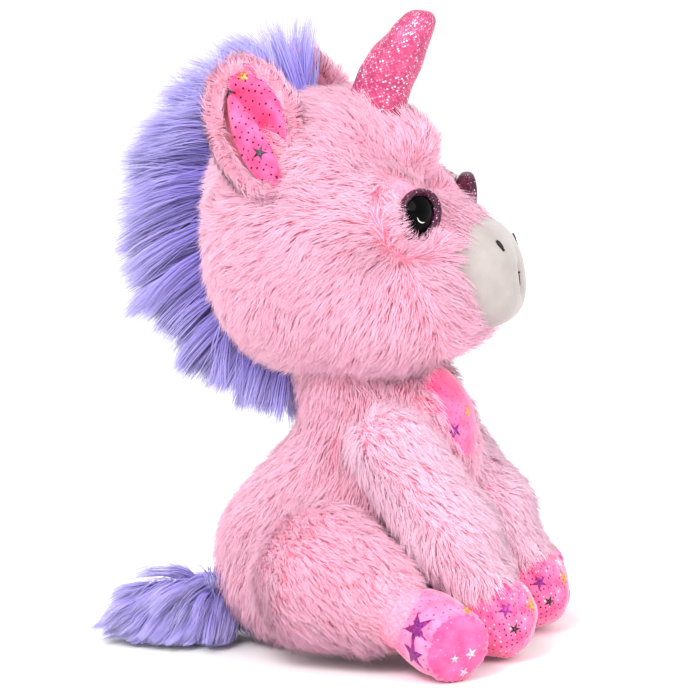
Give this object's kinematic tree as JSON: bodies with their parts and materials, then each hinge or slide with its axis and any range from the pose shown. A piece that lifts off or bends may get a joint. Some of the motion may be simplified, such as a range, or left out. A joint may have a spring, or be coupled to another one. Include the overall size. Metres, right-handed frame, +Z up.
{
  "type": "plush unicorn",
  "caption": "Seated stuffed toy unicorn in long pink pile with a shaggy purple mane and tail, printed hooves, a foil horn and safety eyes.",
  "frame": {"origin": "middle of the bounding box, on the surface the toy sits on", "axes": "+Z up, the toy faces -Y, its right side is -X"},
  "size_m": [0.1396, 0.1645, 0.2228],
  "materials": {
    "pink_fur": "long soft pile, pale pink tips over salmon roots",
    "purple_pile": "long shaggy pile, lilac tips over purple roots",
    "purple_backing": "knitted pile backing",
    "printed_velour": "short velour with printed dots and foil stars",
    "sole_velour": "short velour with foil stars",
    "horn_foil": "knit with a fine grid of foil glitter",
    "cream_velvet": "short dense velvet",
    "black_thread": "satin embroidery thread",
    "eye_glitter": "dark magenta glitter under clear gloss",
    "eye_black": "polished",
    "eye_fixing": "plain moulded",
    "fibre_fill": "loose polyester fibre",
    "pouch_cloth": "plain woven",
    "pellets": "small moulded pellets"
  },
  "bodies": {
    "torso": {"bean_pellets": "pellets", "bean_pouch": "pouch_cloth", "chest_patch": "printed_velour", "torso_fur_left": "pink_fur", "torso_fur_right": "pink_fur", "torso_stuffing": "fibre_fill"},
    "neck": {"neck_stuffing": "fibre_fill"},
    "head": {"eye_iris_left": "eye_glitter", "eye_iris_right": "eye_glitter", "eye_pupil_left": "eye_black", "eye_pupil_right": "eye_black", "eye_shank_left": "eye_fixing", "eye_shank_right": "eye_fixing", "eye_washer_left": "eye_fixing", "eye_washer_right": "eye_fixing", "head_fur_left": "pink_fur", "head_fur_right": "pink_fur", "head_stuffing": "fibre_fill", "mane_backing": "purple_backing", "mane_pile": "purple_pile", "mouth_stitch": "black_thread", "muzzle_cover": "cream_velvet", "muzzle_stuffing": "fibre_fill", "nostril_stitch_left": "black_thread", "nostril_stitch_right": "black_thread"},
    "horn": {"horn_cover": "horn_foil", "horn_stuffing": "fibre_fill"},
    "ear_right": {"ear_fur_right": "pink_fur", "ear_lining_right": "printed_velour"},
    "ear_left": {"ear_fur_left": "pink_fur", "ear_lining_left": "printed_velour"},
    "foreleg_right": {"fore_hoof_right": "printed_velour", "foreleg_fur_right": "pink_fur", "foreleg_stuffing_right": "fibre_fill"},
    "foreleg_left": {"fore_hoof_left": "printed_velour", "foreleg_fur_left": "pink_fur", "foreleg_stuffing_left": "fibre_fill"},
    "hind_leg_right": {"hind_hoof_right": "printed_velour", "hind_leg_fur_right": "pink_fur", "hind_leg_stuffing_right": "fibre_fill", "hind_sole_right": "sole_velour"},
    "hind_leg_left": {"hind_hoof_left": "printed_velour", "hind_leg_fur_left": "pink_fur", "hind_leg_stuffing_left": "fibre_fill", "hind_sole_left": "sole_velour"},
    "tail": {"tail_core": "purple_backing", "tail_pile": "purple_pile"}
  },
  "joints": [
    {"name": "head_turn", "type": "hinge", "parent": "torso", "child": "neck", "pos_m": [0, -0.016, 0.096], "axis": [0, 0, 1], "range_deg": [-25, 25], "stiffness_Nm_per_rad": 0.08},
    {"name": "head_nod", "type": "hinge", "parent": "neck", "child": "head", "pos_m": [0, -0.016, 0.096], "axis": [1, 0, 0], "range_deg": [-10, 10], "stiffness_Nm_per_rad": 0.5},
    {"name": "horn_tilt", "type": "hinge", "parent": "head", "child": "horn", "pos_m": [0, -0.025, 0.19], "axis": [1, 0, 0], "range_deg": [-8, 8], "stiffness_Nm_per_rad": 0.02},
    {"name": "ear_fold_right", "type": "hinge", "parent": "head", "child": "ear_right", "pos_m": [-0.039, -0.006, 0.177], "axis": [0.3746, 0, 0.9272], "range_deg": [-5, 30], "stiffness_Nm_per_rad": 0.01},
    {"name": "ear_fold_left", "type": "hinge", "parent": "head", "child": "ear_left", "pos_m": [0.039, -0.006, 0.177], "axis": [0.3746, 0, -0.9272], "range_deg": [-5, 30], "stiffness_Nm_per_rad": 0.01},
    {"name": "foreleg_swing_right", "type": "hinge", "parent": "torso", "child": "foreleg_right", "pos_m": [-0.023, -0.043, 0.072], "axis": [-1, 0, 0], "range_deg": [0, 30], "stiffness_Nm_per_rad": 0.08},
    {"name": "foreleg_swing_left", "type": "hinge", "parent": "torso", "child": "foreleg_left", "pos_m": [0.023, -0.043, 0.072], "axis": [-1, 0, 0], "range_deg": [0, 30], "stiffness_Nm_per_rad": 0.08},
    {"name": "hind_leg_lift_right", "type": "hinge", "parent": "torso", "child": "hind_leg_right", "pos_m": [-0.035, -0.011, 0.0295], "axis": [-0.9135, 0.4067, 0], "range_deg": [0, 25], "stiffness_Nm_per_rad": 0.1},
    {"name": "hind_leg_lift_left", "type": "hinge", "parent": "torso", "child": "hind_leg_left", "pos_m": [0.035, -0.011, 0.0295], "axis": [-0.9135, -0.4067, 0], "range_deg": [0, 25], "stiffness_Nm_per_rad": 0.1},
    {"name": "tail_swing", "type": "hinge", "parent": "torso", "child": "tail", "pos_m": [0, 0.04, 0.0146], "axis": [0, 0, 1], "range_deg": [-25, 25], "stiffness_Nm_per_rad": 0.02}
  ]
}
